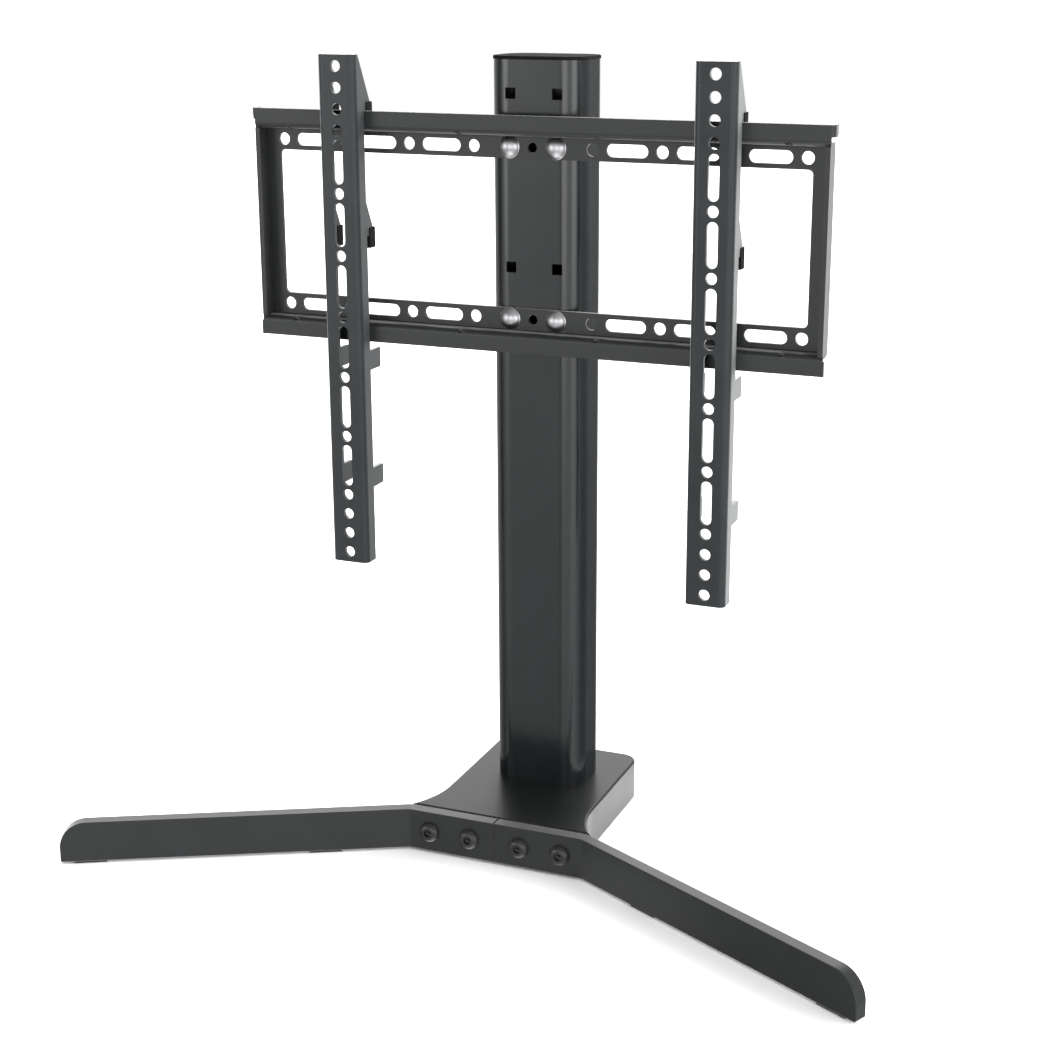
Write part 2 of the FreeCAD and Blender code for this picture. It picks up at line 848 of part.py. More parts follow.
def tab_plates(side):
    """Two tabs below the hooks, one for each hanging height."""
    plates = []
    for drop in (tab_drop, tab_drop + hook_spacing):
        top = notch_top - drop
        back = arm_back + tab_reach
        points = [(arm_back - arm_sheet, top), (back, top), (back, top - tab_height)]
        points.append((arm_back - arm_sheet, top - tab_height))
        plate = flange_plate(points, side)
        free = edges_where(plate, lambda point: near(point.y, back))
        ends = [edge for edge in free if near(edge.Length, arm_sheet)]
        plates.append(plate.makeFillet(tab_corner, ends))
    return plates


def arm_cutters():
    """Round holes and slots down the web, alike above and below the middle."""
    through = vector(0, arm_sheet * 2, 0)
    slot_rows = arm_rows - 1
    end_step = hole_grid / end_holes
    rounds = [row * hole_grid for row in range(arm_rows)]
    rounds += [slot_rows * hole_grid + (index + 1) * end_step for index in range(end_holes)]
    cutters = []
    for height in rounds:
        for sign in (-1, 1) if height else (1,):
            centre = vector(0, arm_front, arm_centre + sign * height)
            cutters.append(rod(arm_hole / 2, centre - through, centre + through))
    slot = slot_cutter(arm_slot, arm_hole, arm_sheet * 2)
    for row in range(slot_rows):
        for sign in (-1, 1):
            cutters.append(slot.translated(vector(0, arm_front, arm_centre + sign * (row + 0.5) * hole_grid)))
    return cutters


def arm():
    """Channel with its web in front, hooks and tabs on both flanges, at X = 0."""
    half = arm_width / 2 - arm_sheet / 2
    web_y = arm_front + arm_sheet / 2
    path = [vector(-half, arm_back), vector(-half, web_y), vector(half, web_y), vector(half, arm_back)]
    channel = bent_sheet(path, arm_sheet, arm_bend_radius)
    channel.translate(vector(0, 0, arm_bottom))
    channel = channel.extrude(vector(0, 0, arm_length))
    corner_y = arm_front + arm_top_depth
    upper_corner = notch_top + hook_rise
    slope = (hook_back - sleeve_wall - corner_y) / (arm_top - upper_corner)
    low_z = arm_top - (arm_back - corner_y) / slope
    behind = arm_back + overrun
    above = arm_top + overrun
    trim = [(corner_y, arm_top), (arm_back, low_z), (behind, low_z), (behind, above), (corner_y, above)]
    trim_face = ring_of_points([vector(-arm_width, y, z) for y, z in trim])
    channel = channel.cut(trim_face.extrude(vector(2 * arm_width, 0, 0)))
    plates = []
    for side in (-1, 1):
        plates += hook_plates(side) + tab_plates(side)
    return joined([channel] + plates).cut(arm_cutters()).Solids[0]


def hook_sleeves():
    """Plastic sleeves on the four hook fingers of an arm at X = 0."""
    body = arm()
    outer = arm_width / 2
    sides = (-outer - sleeve_wall, -outer + arm_sheet + sleeve_wall)
    depth = (hook_back - finger_depth - 2 * sleeve_wall, hook_back)
    sleeves = []
    for ceiling in hook_ceilings():
        bottom = ceiling - finger_length
        block = box(sides, depth, (bottom, bottom + sleeve_height)).cut(body).Solids[0]
        sleeves += [block, mirrored(block)]
    return together(sleeves)


def at_side(shape, sign):
    """Arm pieces moved out to the left or right arm's place."""
    return shape.translated(vector(sign * arm_offset, 0, 0))


def parts():
    """Every node of the stand by name."""
    leg = right_leg()
    leg_bolts = right_leg_bolts()
    nut_bar = right_nut_bar()
    leg_pads = right_leg_pads()
    channel = arm()
    sleeves = hook_sleeves()
    return {
        "base_cover": base_cover(),
        "base_bottom_plate": base_bottom_plate(),
        "base_plate_screws": base_plate_screws(),
        "base_pads": base_pads(),
        "left_leg": mirrored(leg),
        "right_leg": leg,
        "left_leg_bolts": mirrored(leg_bolts),
        "right_leg_bolts": leg_bolts,
        "left_nut_bar": mirrored(nut_bar),
        "right_nut_bar": nut_bar,
        "left_leg_pads": mirrored(leg_pads),
        "right_leg_pads": leg_pads,
        "column_tube": column_tube(),
        "column_cap": column_cap(),
        "column_foot": column_foot(),
        "column_bolts": column_bolts(),
        "television_plate": television_plate(),
        "upper_carriage_bolts": carriage_bolts(upper_row),
        "lower_carriage_bolts": carriage_bolts(lower_row),
        "upper_clamp_bar": clamp_bar(upper_row),
        "lower_clamp_bar": clamp_bar(lower_row),
        "upper_flange_nuts": flange_nuts(upper_row),
        "lower_flange_nuts": flange_nuts(lower_row),
        "left_arm": at_side(channel, -1),
        "right_arm": at_side(channel, 1),
        "left_hook_sleeves": at_side(sleeves, -1),
        "right_hook_sleeves": at_side(sleeves, 1),
    }


os.makedirs("parts", exist_ok=True)
for name, shape in parts().items():
    placed = shape.translated(vector(0, -origin_y, 0))
    placed.exportStep("parts/" + name + ".step")
    print(name, len(placed.Solids), "solids", round(placed.Volume), "mm3", placed.isValid())
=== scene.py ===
import json
import math

import bpy
from mathutils import Matrix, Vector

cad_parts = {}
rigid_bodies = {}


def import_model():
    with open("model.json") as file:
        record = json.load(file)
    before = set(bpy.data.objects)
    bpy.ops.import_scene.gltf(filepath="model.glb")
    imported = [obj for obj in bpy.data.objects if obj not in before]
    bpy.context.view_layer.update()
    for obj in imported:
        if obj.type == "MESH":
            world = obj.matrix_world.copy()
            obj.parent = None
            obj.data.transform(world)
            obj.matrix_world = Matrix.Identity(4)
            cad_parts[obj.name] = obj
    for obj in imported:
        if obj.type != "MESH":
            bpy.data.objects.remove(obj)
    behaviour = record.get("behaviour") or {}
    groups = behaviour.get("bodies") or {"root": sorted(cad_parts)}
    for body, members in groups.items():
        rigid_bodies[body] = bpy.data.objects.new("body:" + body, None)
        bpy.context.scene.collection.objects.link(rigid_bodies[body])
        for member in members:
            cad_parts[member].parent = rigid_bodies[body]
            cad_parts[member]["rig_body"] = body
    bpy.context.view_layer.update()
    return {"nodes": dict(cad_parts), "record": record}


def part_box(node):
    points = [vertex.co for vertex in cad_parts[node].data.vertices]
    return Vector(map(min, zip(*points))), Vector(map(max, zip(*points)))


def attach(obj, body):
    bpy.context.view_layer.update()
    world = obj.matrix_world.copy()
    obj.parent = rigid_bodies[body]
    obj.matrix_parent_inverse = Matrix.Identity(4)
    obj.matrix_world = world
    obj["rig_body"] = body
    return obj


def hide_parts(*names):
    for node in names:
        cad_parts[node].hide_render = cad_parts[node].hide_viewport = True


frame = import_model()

bl_info = {
    "name": "Tabletop television stand",
    "version": (1, 0, 0),
    "blender": (4, 5, 0),
    "location": "3D View > Sidebar > Stand",
    "description": "Finishes the stand's solids, models its bolts and nuts and sets up the studio",
    "category": "Object",
}

# The photograph's camera as fitted: image width, focal length and centre in pixels, place in metres,
# and turn, height and roll in degrees
IMAGE_SIZE = 1054.0
CAMERA_FOCAL = 1865.61
CAMERA_CENTRE = (556.313, 499.094)
CAMERA_PLACE = (0.558624, -1.296920, 0.707364)
CAMERA_ANGLES = (21.557, 15.870, 0.012)
CAMERA_CLIP = (0.05, 50.0)
SENSOR_WIDTH = 36.0

# Brightness of the studio's walls as the gloss sees them: degrees from the front, positive to the
# right, and the brightness there
STUDIO_WALLS = (
    (-180, 0.9), (-140, 0.75), (-113, 0.7), (-93, 0.5), (-76, 0.4), (-60, 0.75), (-43, 1.1), (-30, 1.1),
    (-19, 0.95), (-15, 0.6), (-9, 0.8), (2, 1.4), (16, 1.4), (36, 1.5), (52, 1.9), (66, 1.6), (80, 1.15),
    (95, 0.6), (125, 0.25), (163, 0.25), (174, 0.7), (180, 0.9),
)
# How that brightness changes with height: the Z part of the direction, and the share there
STUDIO_HEIGHTS = (
    (-1.0, 0.5), (-0.5, 0.62), (-0.29, 0.85), (-0.14, 1.03), (0.0, 1.12), (0.2, 1.0), (0.5, 0.5), (1.0, 0.5),
)
CURVE_TOP = 4.0
# Soft round lamps: degrees from the front, degrees up, half width and soft rim in degrees, strength.
# The gloss sees the studio lamps, and matt surfaces get the matt lamps.
STUDIO_LAMPS = (
    (-39, 5, 9, 10, 2.6), (6, 5, 10, 9, 2.2), (54, 5, 8, 9, 2.2), (-160, 30, 20, 14, 0.75),
    (180, -72, 24, 12, 3.3), (0, -60, 14, 12, 2.2),
)
MATT_LAMPS = ((168, 8, 34, 22, 7.0), (95, 8, 25, 20, 5.0))
# The floor, the middle of the patch of it that the gloss shows, and where that patch has faded out,
# as shares of its radius and of its nearness
FLOOR_SIZE = 14.0
FLOOR_CENTRE = (0.16, 0.085, 0.0)
FLOOR_RADIUS_FADE = 1.5
FLOOR_REACH_FADE = 1.35

# Finishes: the slow mottle's frequency, the part of the noise that is spread out, and the sheen's width
MOTTLE = 25.0
NOISE_MIDDLE = (0.3, 0.7)
SHEEN_ROUGHNESS = 0.3
# Coats: how far the roughness varies, and, as shares, the plate's sheen and the satin coat's grain,
# which is coarser and flatter
COAT_UNEVENNESS = 0.02
PLATE_SHEEN = 0.5
SATIN_GRAIN_SIZE = 2.4
SATIN_GRAIN_DEPTH = 0.5

# Fineness of the turned pieces
RING_SIDES = 48
DOME_RINGS = 14
SHOULDER_RINGS = 12
POINT_RINGS = 6
SMOOTH_ANGLE = math.radians(32)
MERGE_DISTANCE = 1e-7

# Small forms of the bolts and nuts in metres
THREAD_PITCH = 0.00125
PLAIN_SHANK = 0.03
THREAD_RUNOUT = 0.001
NECK_BEVEL = 0.0003
SOCKET_BEVEL = 0.0001
NUT_BEVEL = 0.0003
BORE_CLEARANCE = 0.00006
OVERRUN = 0.001

# Shank: chamfer and thread depth as shares of its radius, and where a ridge is flat, as shares of its pitch
CHAMFER = 0.15
THREAD_DEPTH = 0.1
THREAD_CREST = (0.4, 0.6)
# Square neck: how far it reaches into the head, as a share of its half width
NECK_SINK = 0.1
# Domed head: its lip as a share of its height, the lip's upright edge as a share of the lip, and the
# small flat top as a share of the dome's turn
DOME_LIP = 0.12
DOME_LIP_EDGE = 0.6
DOME_TOP = 0.02
# Button head: its rim, socket and point as shares of its height, the rim's upright edge as a share of
# the rim, the point's radius as a share of the socket's width and its height as a share of its radius
BUTTON_RIM = 0.1
BUTTON_RIM_EDGE = 0.7
SOCKET_FLOOR = 0.4
SOCKET_MOUTH = 1.4
POINT_BASE = 0.3
POINT_SHOULDER = 0.65
POINT_RADIUS = 0.2
POINT_HEIGHT = 0.8
# Flange nut: the flange's edge, its sloped top and the start of the body as shares of the flange's height
FLANGE_EDGE = 0.6
FLANGE_TOP = 1.6
NUT_BODY_START = 0.5

# Turns of a piece modelled along Z: its head to the front, or its flange to the front
HEAD_FORWARD = (math.pi / 2, 0.0, 0.0)
FLANGE_FORWARD = (-math.pi / 2, 0.0, 0.0)


class StandCoats(bpy.types.PropertyGroup):
    """Colours and gloss of the coated sheet metal."""

    powder_colour: bpy.props.FloatVectorProperty(
        name="Powder coat", description="Colour of the legs and the television plate",
        subtype="COLOR", size=3, default=(0.0040, 0.0050, 0.0056), min=0.0, max=1.0)
    arm_colour: bpy.props.FloatVectorProperty(
        name="Arm coat", description="Colour of the arms",
        subtype="COLOR", size=3, default=(0.0145, 0.0168, 0.0180), min=0.0, max=1.0)
    satin_colour: bpy.props.FloatVectorProperty(
        name="Satin coat", description="Colour of the column",
        subtype="COLOR", size=3, default=(0.0035, 0.0048, 0.0056), min=0.0, max=1.0)
    base_colour: bpy.props.FloatVectorProperty(
        name="Base coat", description="Colour of the base block",
        subtype="COLOR", size=3, default=(0.0015, 0.0020, 0.0023), min=0.0, max=1.0)
    powder_roughness: bpy.props.FloatProperty(
        name="Powder coat roughness", description="Roughness of the coat on the television plate",
        subtype="FACTOR", default=0.42, min=0.0, max=1.0)
    arm_roughness: bpy.props.FloatProperty(
        name="Arm coat roughness", description="Roughness of the coat on the arms",
        subtype="FACTOR", default=0.3, min=0.0, max=1.0)
    leg_roughness: bpy.props.FloatProperty(
        name="Leg coat roughness", description="Roughness of the coat on the legs",
        subtype="FACTOR", default=0.34, min=0.0, max=1.0)
    satin_roughness: bpy.props.FloatProperty(
        name="Satin coat roughness", description="Roughness of the coat on the column",
        subtype="FACTOR", default=0.2, min=0.0, max=1.0)
    base_roughness: bpy.props.FloatProperty(
        name="Base coat roughness", description="Roughness of the coat on the base block",
        subtype="FACTOR", default=0.3, min=0.0, max=1.0)
    sheen: bpy.props.FloatProperty(
        name="Powder coat sheen", description="How much the powder coat brightens at a flat angle",
        subtype="FACTOR", default=1.0, min=0.0, max=1.0)
    grain_size: bpy.props.FloatProperty(
        name="Coat grain", description="Size of the powder coat's fine bumps",
        subtype="DISTANCE", default=0.0011, min=0.0001, max=0.01)
    grain_depth: bpy.props.FloatProperty(
        name="Coat grain depth", description="Height of the powder coat's fine bumps",
        subtype="DISTANCE", default=0.00003, min=0.0, max=0.001, precision=6)


class StandPlastics(bpy.types.PropertyGroup):
    """Colours of the moulded pieces."""

    cap_colour: bpy.props.FloatVectorProperty(
        name="Cap and sleeves", description="Colour of the column cap and the hook sleeves",
        subtype="COLOR", size=3, default=(0.006, 0.006, 0.0064), min=0.0, max=1.0)
    pad_colour: bpy.props.FloatVectorProperty(
        name="Pads", description="Colour of the rubber pads under base and legs",
        subtype="COLOR", size=3, default=(0.018, 0.018, 0.018), min=0.0, max=1.0)


class StandBolts(bpy.types.PropertyGroup):
    """Sizes and colours of the bolts and nuts."""

    dome_height: bpy.props.FloatProperty(
        name="Carriage bolt dome", description="Height of the carriage bolts' domed heads",
        subtype="DISTANCE", default=0.0052, min=0.001, max=0.02)
    shank_radius: bpy.props.FloatProperty(
        name="Carriage bolt radius", description="Radius of the carriage bolts' shanks",
        subtype="DISTANCE", default=0.004, min=0.001, max=0.01)
    neck_width: bpy.props.FloatProperty(
        name="Square neck", description="Width of the square neck under the domed head",
        subtype="DISTANCE", default=0.0083, min=0.001, max=0.02)
    neck_length: bpy.props.FloatProperty(
        name="Square neck length", description="Length of the square neck",
        subtype="DISTANCE", default=0.0055, min=0.001, max=0.02)
    button_height: bpy.props.FloatProperty(
        name="Button head", description="Height of the leg bolts' button heads",
        subtype="DISTANCE", default=0.005, min=0.001, max=0.02)
    button_flat: bpy.props.FloatProperty(
        name="Button head flat", description="Radius of the flat middle of the leg bolts' heads",
        subtype="DISTANCE", default=0.0042, min=0.001, max=0.01)
    button_shank_radius: bpy.props.FloatProperty(
        name="Leg bolt radius", description="Radius of the leg bolts' shanks",
        subtype="DISTANCE", default=0.005, min=0.001, max=0.01)
    socket_width: bpy.props.FloatProperty(
        name="Hexagon socket", description="Width across the flats of the leg bolts' sockets",
        subtype="DISTANCE", default=0.006, min=0.001, max=0.02)
    nut_width: bpy.props.FloatProperty(
        name="Nut", description="Width across the flats of the flange nuts",
        subtype="DISTANCE", default=0.013, min=0.001, max=0.03)
    nut_flange_height: bpy.props.FloatProperty(
        name="Nut flange", description="Height of the flange nuts' rims",
        subtype="DISTANCE", default=0.0015, min=0.0005, max=0.01)
    chrome_colour: bpy.props.FloatVectorProperty(
        name="Bright plate", description="Colour of the carriage bolts",
        subtype="COLOR", size=3, default=(0.37, 0.37, 0.38), min=0.0, max=1.0)
    oxide_colour: bpy.props.FloatVectorProperty(
        name="Black oxide", description="Colour of the leg bolts",
        subtype="COLOR", size=3, default=(0.012, 0.012, 0.0125), min=0.0, max=1.0)
    zinc_colour: bpy.props.FloatVectorProperty(
        name="Zinc plate", description="Colour of the nuts, the screws and the pieces inside",
        subtype="COLOR", size=3, default=(0.50, 0.51, 0.53), min=0.0, max=1.0)


class StandStage(bpy.types.PropertyGroup):
    """Brightness of the studio."""

    room_light: bpy.props.FloatProperty(
        name="Room light", description="Strength of the even light that matt surfaces get",
        default=1.12, min=0.0)
    wall_light: bpy.props.FloatProperty(
        name="Wall light", description="Strength of the studio's walls in the gloss",
        default=1.0, min=0.0)
    lamp_light: bpy.props.FloatProperty(
        name="Lamp light", description="Strength of the studio's soft lamps",
        default=1.0, min=0.0)
    floor_radius: bpy.props.FloatProperty(
        name="Floor in the gloss", description="Radius of the patch of floor that the gloss shows",
        subtype="DISTANCE", default=0.13, min=0.0)
    floor_reach: bpy.props.FloatProperty(
        name="Floor's nearness in the gloss",
        description="How near the floor must be for the gloss to show it",
        subtype="DISTANCE", default=0.1, min=0.0)


def turned(name, rings):
    """A closed turned piece along Z from (radius, height) pairs, first to last."""
    bpy.ops.object.select_all(action="DESELECT")
    radius, height = rings[0]
    bpy.ops.mesh.primitive_circle_add(
        vertices=RING_SIDES, radius=radius, fill_type="NGON", location=(0.0, 0.0, height))
    piece = bpy.context.object
    piece.name = name
    bpy.ops.object.transform_apply(location=True, rotation=True, scale=True)
    bpy.ops.object.mode_set(mode="EDIT")
    bpy.ops.mesh.select_mode(type="FACE")
    bpy.ops.mesh.select_all(action="SELECT")
    bpy.ops.mesh.duplicate()
    for wider, further in rings[1:]:
        bpy.ops.mesh.extrude_region_move(
            TRANSFORM_OT_translate={"value": (0.0, 0.0, further - height)})
        share = wider / radius
        bpy.ops.transform.resize(value=(share, share, 1.0), center_override=(0.0, 0.0, further))
        radius, height = wider, further
    bpy.ops.mesh.select_all(action="SELECT")
    bpy.ops.mesh.remove_doubles(threshold=MERGE_DISTANCE)
    bpy.ops.mesh.normals_make_consistent(inside=False)
    bpy.ops.object.mode_set(mode="OBJECT")
    return piece


def prism(name, width, low, high, sides, bevel):
    """A closed prism along Z, by its width across the flats, with bevelled rims."""
    bpy.ops.object.select_all(action="DESELECT")
    radius = width / 2 / math.cos(math.pi / sides)
    bpy.ops.mesh.primitive_cylinder_add(
        vertices=sides, radius=radius, depth=high - low, location=(0.0, 0.0, (low + high) / 2))
    piece = bpy.context.object
    piece.name = name
    bpy.ops.object.transform_apply(location=True, rotation=True, scale=True)
    bpy.ops.object.mode_set(mode="EDIT")
    bpy.ops.mesh.select_all(action="SELECT")
    bpy.ops.mesh.bevel(offset=bevel, segments=2, affect="EDGES")
    bpy.ops.object.mode_set(mode="OBJECT")
    return piece


def combined(piece, tool, operation):
    """Applies a boolean of another piece, which is then gone."""
    bpy.ops.object.select_all(action="DESELECT")
    bpy.context.view_layer.objects.active = piece
    piece.select_set(True)
    cut = piece.modifiers.new("cut", "BOOLEAN")
    cut.operation = operation
    cut.solver = "EXACT"
    cut.object = tool
    bpy.ops.object.modifier_apply(modifier=cut.name)
    bpy.data.objects.remove(tool)
    return piece


def copied(piece, place, turn):
    """A copy with its own mesh, turned and moved, with the place in its mesh."""
    copy = piece.copy()
    copy.data = piece.data.copy()
    bpy.context.scene.collection.objects.link(copy)
    bpy.ops.object.select_all(action="DESELECT")
    bpy.context.view_layer.objects.active = copy
    copy.select_set(True)
    copy.rotation_euler = turn
    copy.location = place
    bpy.ops.object.transform_apply(location=True, rotation=True, scale=True)
    return copy


def row_ends(low, high, base):
    """Places of the two pieces at the ends of a row's box, with their heads or flanges seated at base."""
    radius = (high.z - low.z) / 2
    middle = (low.z + high.z) / 2
    return [(low.x + radius, base, middle), (high.x - radius, base, middle)]


def placed(pattern, name, places, turn, material, node):
    """One piece of a pattern's copies, which stands for a CAD node and rides with it."""
    copies = [copied(pattern, place, turn) for place in places]
    bpy.data.objects.remove(pattern)
    bpy.ops.object.select_all(action="DESELECT")
    for copy in copies:
        copy.select_set(True)
    piece = copies[0]
    bpy.context.view_layer.objects.active = piece
    bpy.ops.object.join()
    bpy.ops.object.shade_smooth_by_angle(angle=SMOOTH_ANGLE)
    piece.name = name
    piece.data.name = name
    piece.data.materials.clear()
    piece.data.materials.append(material)
    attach(piece, frame["nodes"][node]["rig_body"])
    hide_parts(node)


def shank_rings(radius, length):
    """Rings of a bolt's chamfered end."""
    chamfer = radius * CHAMFER
    return [(radius - chamfer, -length), (radius, chamfer - length)]


def thread_rings(radius, low, high):
    """Rings of the thread's ridges between two heights."""
    rings = []
    root = radius - radius * THREAD_DEPTH
    count = max(1, int(abs(high - low) / THREAD_PITCH))
    step = (high - low) / count
    for index in range(count):
        start = low + index * step
        rings += [(root, start)] + [(radius, start + step * share) for share in THREAD_CREST]
    return rings + [(root, high)]


def dome_rings(radius, height, count):
    """Rings of a domed cap from its rim up to its small flat top."""
    ball = (radius * radius + height * height) / (2 * height)
    whole = math.asin(radius / ball)
    turns = [whole * (1 - index / count) for index in range(count)] + [whole * DOME_TOP]
    return [(ball * math.sin(turn), height - ball + ball * math.cos(turn)) for turn in turns]


def shoulder_rings(radius, flat, low, high):
    """Rings of a quarter ellipse from an upright rim in to a flat top."""
    turns = [math.pi / 2 * index / SHOULDER_RINGS for index in range(1, SHOULDER_RINGS + 1)]
    return [
        (radius - (radius - flat) * (1 - math.cos(turn)), low + (high - low) * math.sin(turn))
        for turn in turns
    ]


def math_node(tree, operation, first, second):
    """The result of a calculation on a socket and a socket or a number."""
    node = tree.nodes.new("ShaderNodeMath")
    node.operation = operation
    tree.links.new(first, node.inputs[0])
    if isinstance(second, bpy.types.NodeSocket):
        tree.links.new(second, node.inputs[1])
    else:
        node.inputs[1].default_value = second
    return node.outputs[0]


def ranged(tree, value, start, end, low=0.0, high=1.0, smooth=False):
    """A value stretched from the range start to end onto the range low to high."""
    node = tree.nodes.new("ShaderNodeMapRange")
    if smooth:
        node.interpolation_type = "SMOOTHSTEP"
    tree.links.new(value, node.inputs["Value"])
    node.inputs["From Min"].default_value = start
    node.inputs["From Max"].default_value = end
    node.inputs["To Min"].default_value = low
    node.inputs["To Max"].default_value = high
    return node.outputs["Result"]


def curved(tree, value, points):
    """A value through a curve of (value, result) points."""
    low, high = points[0][0], points[-1][0]
    node = tree.nodes.new("ShaderNodeFloatCurve")
    node.mapping.clip_max_y = CURVE_TOP
    curve = node.mapping.curves[0]
    for place, result in points[1:-1]:
        curve.points.new((place - low) / (high - low), result)
    curve.points[0].location = (0.0, points[0][1])
    curve.points[-1].location = (1.0, points[-1][1])
    node.mapping.update()
    tree.links.new(ranged(tree, value, low, high), node.inputs["Value"])
    return node.outputs["Value"]


def noise(tree, place, scale, detail):
    """Noise on a place, with its scale from a socket."""
    node = tree.nodes.new("ShaderNodeTexNoise")
    node.inputs["Detail"].default_value = detail
    tree.links.new(place, node.inputs["Vector"])
    tree.links.new(scale, node.inputs["Scale"])
    return node.outputs["Fac"]


def surface_group():
    """The node group of fine grain and slow mottle that every finish uses, made once."""
    tree = bpy.data.node_groups.get("finish_surface")
    if tree:
        return tree
    tree = bpy.data.node_groups.new("finish_surface", "ShaderNodeTree")
    for name, way, default in (
            ("Grain Scale", "INPUT", 900.0), ("Mottle Scale", "INPUT", MOTTLE),
            ("Grain", "OUTPUT", 0.0), ("Mottle", "OUTPUT", 0.0)):
        socket = tree.interface.new_socket(name=name, in_out=way, socket_type="NodeSocketFloat")
        socket.default_value = default
    entry = tree.nodes.new("NodeGroupInput")
    leave = tree.nodes.new("NodeGroupOutput")
    place = tree.nodes.new("ShaderNodeTexCoord").outputs["Object"]
    for name, detail in (("Grain", 2.0), ("Mottle", 4.0)):
        level = noise(tree, place, entry.outputs[name + " Scale"], detail)
        tree.links.new(level, leave.inputs[name])
    return tree


def finish(name, colour, *, lighter, roughness, unevenness, grain, depth, mottle=MOTTLE,
           specular=0.5, metallic=0.0, sheen=0.0):
    """A finish: colour and roughness that vary with the mottle, and a bump from the grain."""
    material = bpy.data.materials.new(name)
    material.use_nodes = True
    tree = material.node_tree
    shader = tree.nodes["Principled BSDF"]
    shader.inputs["Specular IOR Level"].default_value = specular
    shader.inputs["Metallic"].default_value = metallic
    if sheen:
        shader.inputs["Sheen Weight"].default_value = sheen
        shader.inputs["Sheen Roughness"].default_value = SHEEN_ROUGHNESS
    group = tree.nodes.new("ShaderNodeGroup")
    group.node_tree = surface_group()
    group.inputs["Grain Scale"].default_value = 1.0 / grain
    group.inputs["Mottle Scale"].default_value = mottle
    shade = tree.nodes.new("ShaderNodeMix")
    shade.data_type = "RGBA"
    shade.inputs["A"].default_value = (*colour, 1.0)
    shade.inputs["B"].default_value = (*(part * lighter for part in colour), 1.0)
    tree.links.new(ranged(tree, group.outputs["Mottle"], *NOISE_MIDDLE), shade.inputs["Factor"])
    tree.links.new(shade.outputs["Result"], shader.inputs["Base Color"])
    level = ranged(
        tree, group.outputs["Mottle"], *NOISE_MIDDLE, roughness - unevenness, roughness + unevenness)
    tree.links.new(level, shader.inputs["Roughness"])
    bump = tree.nodes.new("ShaderNodeBump")
    bump.inputs["Strength"].default_value = 1.0
    bump.inputs["Distance"].default_value = depth
    tree.links.new(group.outputs["Grain"], bump.inputs["Height"])
    tree.links.new(bump.outputs["Normal"], shader.inputs["Normal"])
    return material


def studio_walls(tree, place):
    """Brightness of the walls by the direction's turn round the stand and its height."""
    parts = tree.nodes.new("ShaderNodeSeparateXYZ")
    tree.links.new(place, parts.inputs[0])
    forward = math_node(tree, "MULTIPLY", parts.outputs["Y"], -1.0)
    angle = math_node(tree, "ARCTAN2", parts.outputs["X"], forward)
    turns = [(math.radians(degrees), bright) for degrees, bright in STUDIO_WALLS]
    around = curved(tree, angle, turns)
    upward = curved(tree, parts.outputs["Z"], STUDIO_HEIGHTS)
    return math_node(tree, "MULTIPLY", around, upward)


def studio_lamp(tree, place, azimuth, elevation, half_width, rim, strength):
    """Brightness of one round soft lamp by direction."""
    azimuth, elevation = math.radians(azimuth), math.radians(elevation)
    near = tree.nodes.new("ShaderNodeVectorMath")
    near.operation = "DOT_PRODUCT"
    tree.links.new(place, near.inputs[0])
    near.inputs[1].default_value = (
        math.sin(azimuth) * math.cos(elevation), -math.cos(azimuth) * math.cos(elevation),
        math.sin(elevation))
    outside, inside = math.cos(math.radians(half_width + rim)), math.cos(math.radians(half_width))
    return ranged(tree, near.outputs["Value"], outside, inside, high=strength, smooth=True)


def with_lamps(tree, place, level, lamps, strength):
    """A brightness with the light of soft lamps added."""
    for lamp in lamps:
        light = math_node(tree, "MULTIPLY", studio_lamp(tree, place, *lamp), strength)
        level = math_node(tree, "ADD", level, light)
    return level


def cover(node, material):
    """Puts a material on a CAD node."""
    data = frame["nodes"][node].data
    data.materials.clear()
    data.materials.append(material)


def dress(slot, material):
    """Puts a material on every CAD node of a record slot."""
    for row in frame["record"]["subparts"]:
        if row["material_slot"] == slot:
            cover(row["node"], material)


class STAND_OT_coated_metal(bpy.types.Operator):
    """Coat the column, the base, the legs, the plate and the arms"""

    bl_idname = "stand.coated_metal"
    bl_label = "Coated metal"

    def execute(self, context):
        coats = context.scene.stand_coats
        grain = {"grain": coats.grain_size, "depth": coats.grain_depth, "unevenness": COAT_UNEVENNESS}
        satin_grain = {
            "grain": coats.grain_size * SATIN_GRAIN_SIZE, "depth": coats.grain_depth * SATIN_GRAIN_DEPTH,
            "unevenness": COAT_UNEVENNESS}
        dress("powder_coat", finish(
            "black_powder_coat", coats.powder_colour, lighter=1.3, roughness=coats.powder_roughness,
            specular=0.5, sheen=coats.sheen * PLATE_SHEEN, **grain))
        arms = finish(
            "black_arm_coat", coats.arm_colour, lighter=1.3, roughness=coats.arm_roughness,
            specular=0.25, sheen=coats.sheen, **grain)
        legs = finish(
            "black_leg_coat", coats.powder_colour, lighter=1.3, roughness=coats.leg_roughness,
            specular=0.46, sheen=coats.sheen, **grain)
        for side in ("left", "right"):
            cover(side + "_arm", arms)
            cover(side + "_leg", legs)
        dress("satin_coat", finish(
            "black_satin_coat", coats.satin_colour, lighter=1.25, roughness=coats.satin_roughness,
            specular=0.6, **satin_grain))
        cover("base_cover", finish(
            "black_base_coat", coats.base_colour, lighter=1.25, roughness=coats.base_roughness,
            specular=0.68, **grain))
        return {"FINISHED"}


